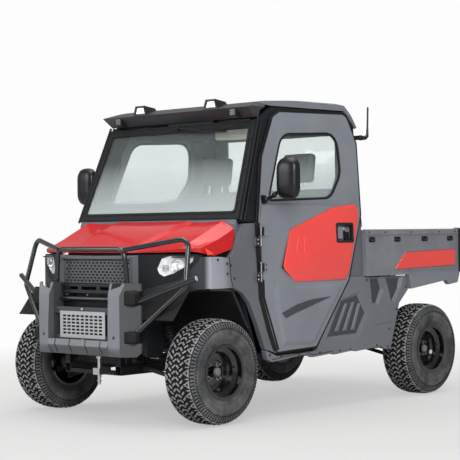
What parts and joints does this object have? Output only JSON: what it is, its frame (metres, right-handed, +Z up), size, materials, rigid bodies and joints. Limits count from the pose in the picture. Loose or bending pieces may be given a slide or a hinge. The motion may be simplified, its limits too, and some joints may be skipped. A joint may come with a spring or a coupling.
{
  "type": "side by side utility vehicle",
  "caption": "Two-seat off-road utility vehicle with an enclosed cab, tipping load bed, front brush guard, opening doors and steered front wheels.",
  "frame": {"origin": "on the ground below the middle of the vehicle's box", "axes": "+Z up, -Y towards the front of the vehicle, +X towards its left side"},
  "size_m": [2.005, 3.032, 2.0043],
  "materials": {
    "frame_black": "satin",
    "guard_black": "satin powder coat",
    "cast": "rough",
    "steel": "satin",
    "alloy": "satin",
    "body_red": "gloss",
    "body_grey": "fine texture",
    "trim_black": "satin",
    "gloss_black": "gloss",
    "lamp_red": "clear red",
    "lamp_clear": "clear",
    "cab_glass": "clear, faint green",
    "seat_vinyl": "grained",
    "tyre_rubber": "matt",
    "rim_black": "satin",
    "bed_coat": "textured"
  },
  "bodies": {
    "root": {"chassis_frame": "frame_black", "engine_block": "cast", "front_drive": "cast", "rear_transaxle": "cast", "suspension_arms": "frame_black", "shock_absorbers": "frame_black", "steering_column": "steel", "floor_tub": "trim_black", "dashboard": "body_grey", "cab_frame": "frame_black", "roof_shell": "body_grey", "roof_visor": "gloss_black", "roof_lamps": "trim_black", "cab_glass": "cab_glass", "rear_panel": "trim_black", "seats": "seat_vinyl", "cowl": "body_grey", "front_fenders": "body_grey", "front_fascia": "body_grey", "grille": "trim_black", "headlamps": "lamp_clear", "front_bumper": "guard_black", "grille_surround": "body_grey", "lower_grille": "guard_black", "brush_guard": "guard_black", "radiator_guard": "alloy", "radiator": "alloy", "front_hitch": "steel", "side_panels": "body_grey", "antenna": "trim_black", "rear_hitch": "frame_black", "muffler": "steel"},
    "door_left": {"door_left": "body_grey", "door_insert_left": "body_red", "door_glass_left": "cab_glass", "door_mirror_left": "trim_black"},
    "door_right": {"door_right": "body_grey", "door_insert_right": "body_red", "door_glass_right": "cab_glass", "door_mirror_right": "trim_black"},
    "hood": {"hood": "body_red"},
    "bed": {"bed_box": "bed_coat", "bed_skirts": "body_grey", "bed_stripes": "body_red", "tail_lamps": "lamp_red"},
    "tailgate": {"tailgate": "bed_coat"},
    "steering_wheel": {"steering_wheel": "trim_black"},
    "knuckle_left": {"knuckle_left": "cast"},
    "knuckle_right": {"knuckle_right": "cast"},
    "tie_rods": {"tie_rods": "steel"},
    "wheel_front_left": {"tyre_front_left": "tyre_rubber", "rim_front_left": "rim_black"},
    "wheel_front_right": {"tyre_front_right": "tyre_rubber", "rim_front_right": "rim_black"},
    "wheel_rear_left": {"tyre_rear_left": "tyre_rubber", "rim_rear_left": "rim_black"},
    "wheel_rear_right": {"tyre_rear_right": "tyre_rubber", "rim_rear_right": "rim_black"}
  },
  "joints": [
    {"name": "door_left_hinge", "type": "hinge", "parent": "root", "child": "door_left", "pos_m": [0.757, -0.676, 1], "axis": [0, 0, -1], "range_deg": [0, 70]},
    {"name": "door_right_hinge", "type": "hinge", "parent": "root", "child": "door_right", "pos_m": [-0.757, -0.676, 1], "axis": [0, 0, 1], "range_deg": [0, 70]},
    {"name": "hood_hinge", "type": "hinge", "parent": "root", "child": "hood", "pos_m": [0, -0.85, 1.212], "axis": [-1, 0, 0], "range_deg": [0, 55]},
    {"name": "bed_tilt", "type": "hinge", "parent": "root", "child": "bed", "pos_m": [0, 1.372, 0.806], "axis": [-1, 0, 0], "range_deg": [0, 45]},
    {"name": "tailgate_hinge", "type": "hinge", "parent": "bed", "child": "tailgate", "pos_m": [0, 1.495, 0.879], "axis": [-1, 0, 0], "range_deg": [0, 90]},
    {"name": "steer_left", "type": "hinge", "parent": "root", "child": "knuckle_left", "pos_m": [0.596, -1.05, 0.3175], "axis": [0, 0, 1], "range_deg": [-30, 30]},
    {"name": "steer_right", "type": "hinge", "parent": "root", "child": "knuckle_right", "pos_m": [-0.596, -1.05, 0.3175], "axis": [0, 0, 1], "range_deg": [-30, 30]},
    {"name": "steering_wheel_turn", "type": "hinge", "parent": "root", "child": "steering_wheel", "pos_m": [0.376, -0.44, 1.11], "axis": [0, 0.848, 0.5299], "range_deg": [-480, 480]},
    {"name": "rack_slide", "type": "slide", "parent": "root", "child": "tie_rods", "axis": [1, 0, 0], "range_m": [-0.047, 0.047]},
    {"name": "wheel_front_left_spin", "type": "hinge", "parent": "knuckle_left", "child": "wheel_front_left", "pos_m": [0.692, -1.05, 0.3175], "axis": [1, 0, 0], "continuous": true},
    {"name": "wheel_front_right_spin", "type": "hinge", "parent": "knuckle_right", "child": "wheel_front_right", "pos_m": [-0.692, -1.05, 0.3175], "axis": [1, 0, 0], "continuous": true},
    {"name": "wheel_rear_left_spin", "type": "hinge", "parent": "root", "child": "wheel_rear_left", "pos_m": [0.692, 1.08, 0.3175], "axis": [1, 0, 0], "continuous": true},
    {"name": "wheel_rear_right_spin", "type": "hinge", "parent": "root", "child": "wheel_rear_right", "pos_m": [-0.692, 1.08, 0.3175], "axis": [1, 0, 0], "continuous": true}
  ],
  "couplings": [
    {"joint": "steer_right", "follows": "steer_left", "ratio": 1},
    {"joint": "steering_wheel_turn", "follows": "steer_left", "ratio": 16},
    {"joint": "rack_slide", "follows": "steer_left", "m_per_rad": -0.088}
  ]
}
